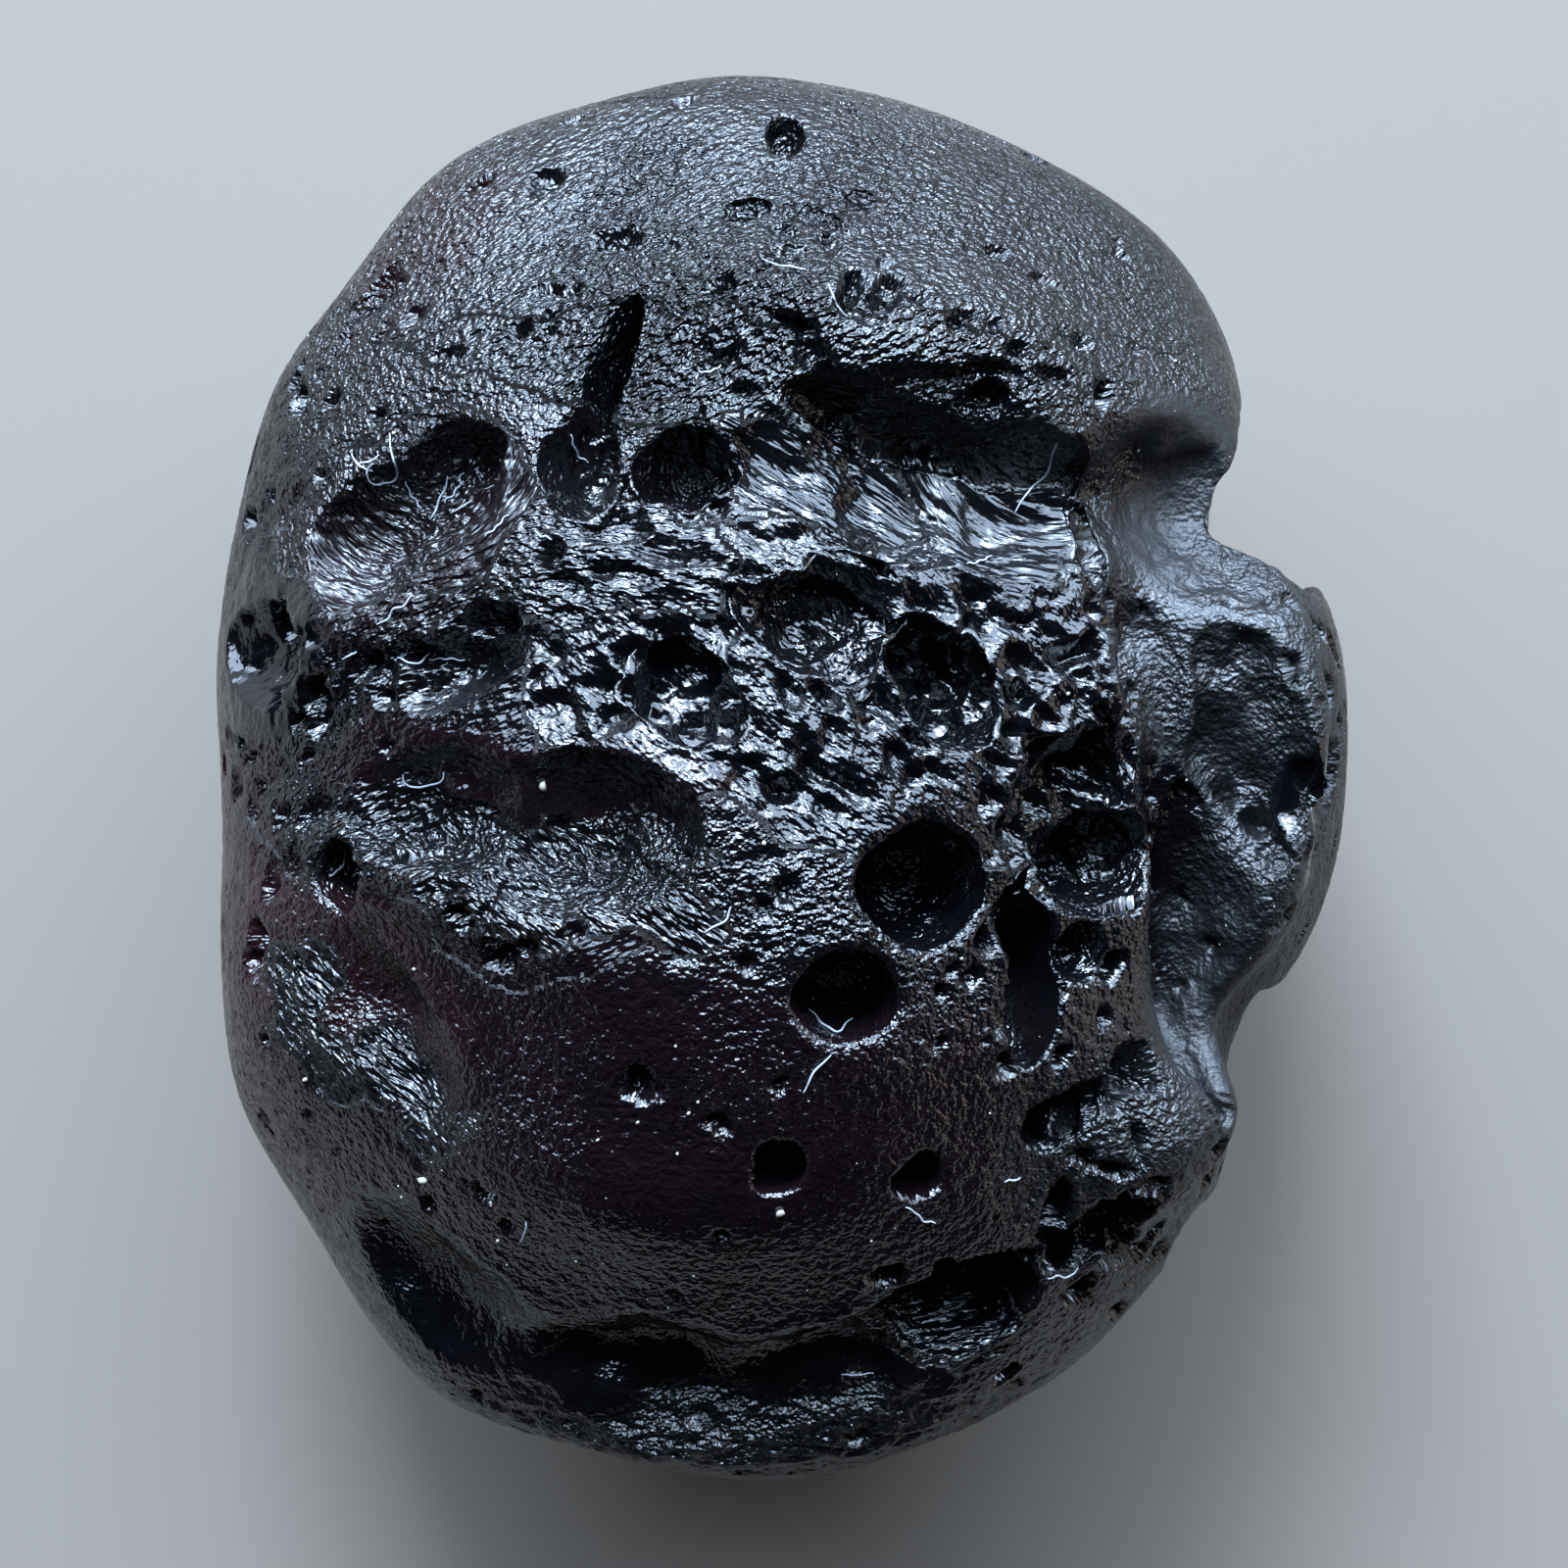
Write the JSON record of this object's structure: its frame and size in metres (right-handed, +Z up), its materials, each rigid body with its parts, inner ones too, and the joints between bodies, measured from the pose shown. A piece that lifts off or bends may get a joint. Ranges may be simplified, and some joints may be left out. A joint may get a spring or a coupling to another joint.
{
  "type": "tektite",
  "caption": "Natural lump of black impact glass with a pitted, deeply gouged surface, lying on its flatter back.",
  "frame": {"origin": "on the surface the stone rests on, under the middle of its box", "axes": "+X across the stone, +Y along its length towards the smooth cap, +Z up, out of its gouged face"},
  "size_m": [0.0291, 0.0361, 0.0231],
  "materials": {
    "tektite_glass": "etched satin black glass, opaque at this thickness"
  },
  "bodies": {
    "root": {"tektite": "tektite_glass"}
  },
  "joints": []
}
